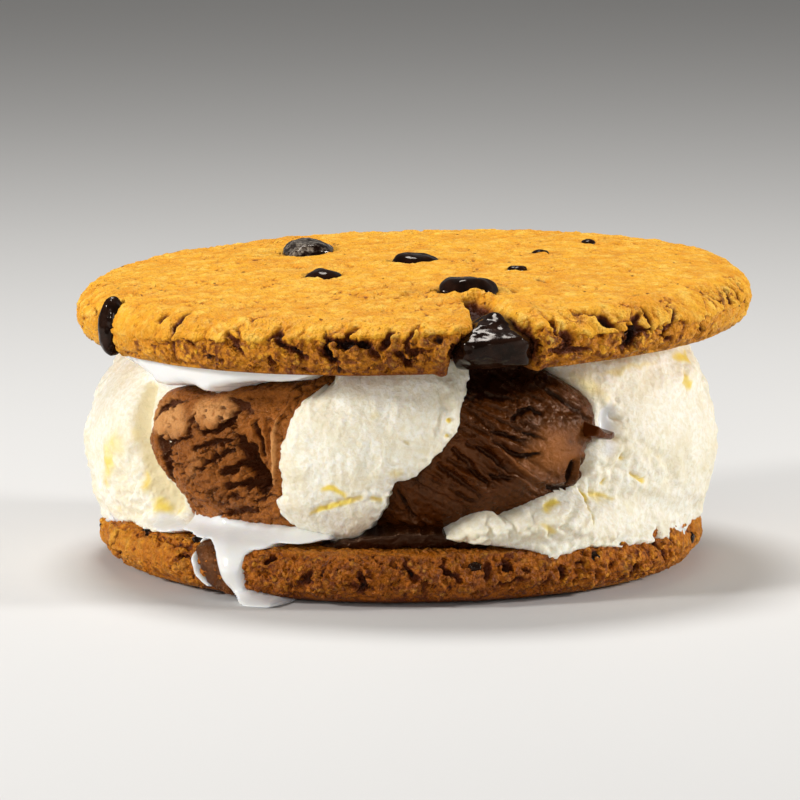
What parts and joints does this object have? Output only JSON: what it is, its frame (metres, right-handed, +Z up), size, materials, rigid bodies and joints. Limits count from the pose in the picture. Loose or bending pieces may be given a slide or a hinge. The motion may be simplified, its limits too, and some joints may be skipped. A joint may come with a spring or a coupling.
{
  "type": "ice cream sandwich",
  "caption": "Ice cream sandwich: a domed chocolate chip cookie on soft scoops of vanilla and chocolate ice cream, on a smaller cookie, starting to melt.",
  "frame": {"origin": "on the surface that the sandwich stands on, under the middle of its bounding box", "axes": "+Z up; the front, where the middle vanilla scoop bulges out between two of chocolate, faces -Y; +X is to the right seen from the front"},
  "size_m": [0.1089, 0.1092, 0.0499],
  "materials": {
    "golden_cookie": "baked, matte, crumbly, golden on top and browner on the broken side",
    "browned_cookie": "baked, matte, crumbly, dark golden brown",
    "vanilla_ice_cream": "creamy white with pale yellow tints, softly wet where it melts",
    "chocolate_ice_cream": "milk chocolate brown, torn and ridged by the scoop, half glossy",
    "dark_chocolate": "dark chocolate, glossy on fresh faces"
  },
  "bodies": {
    "root": {"top_cookie": "golden_cookie", "bottom_cookie": "browned_cookie", "vanilla_left": "vanilla_ice_cream", "chocolate_left": "chocolate_ice_cream", "vanilla_middle": "vanilla_ice_cream", "chocolate_right": "chocolate_ice_cream", "vanilla_right": "vanilla_ice_cream", "chunk_front": "dark_chocolate", "chunk_middle": "dark_chocolate", "chunk_left": "dark_chocolate", "chip_left": "dark_chocolate", "chip_centre": "dark_chocolate", "chunk_back": "dark_chocolate"}
  },
  "joints": []
}
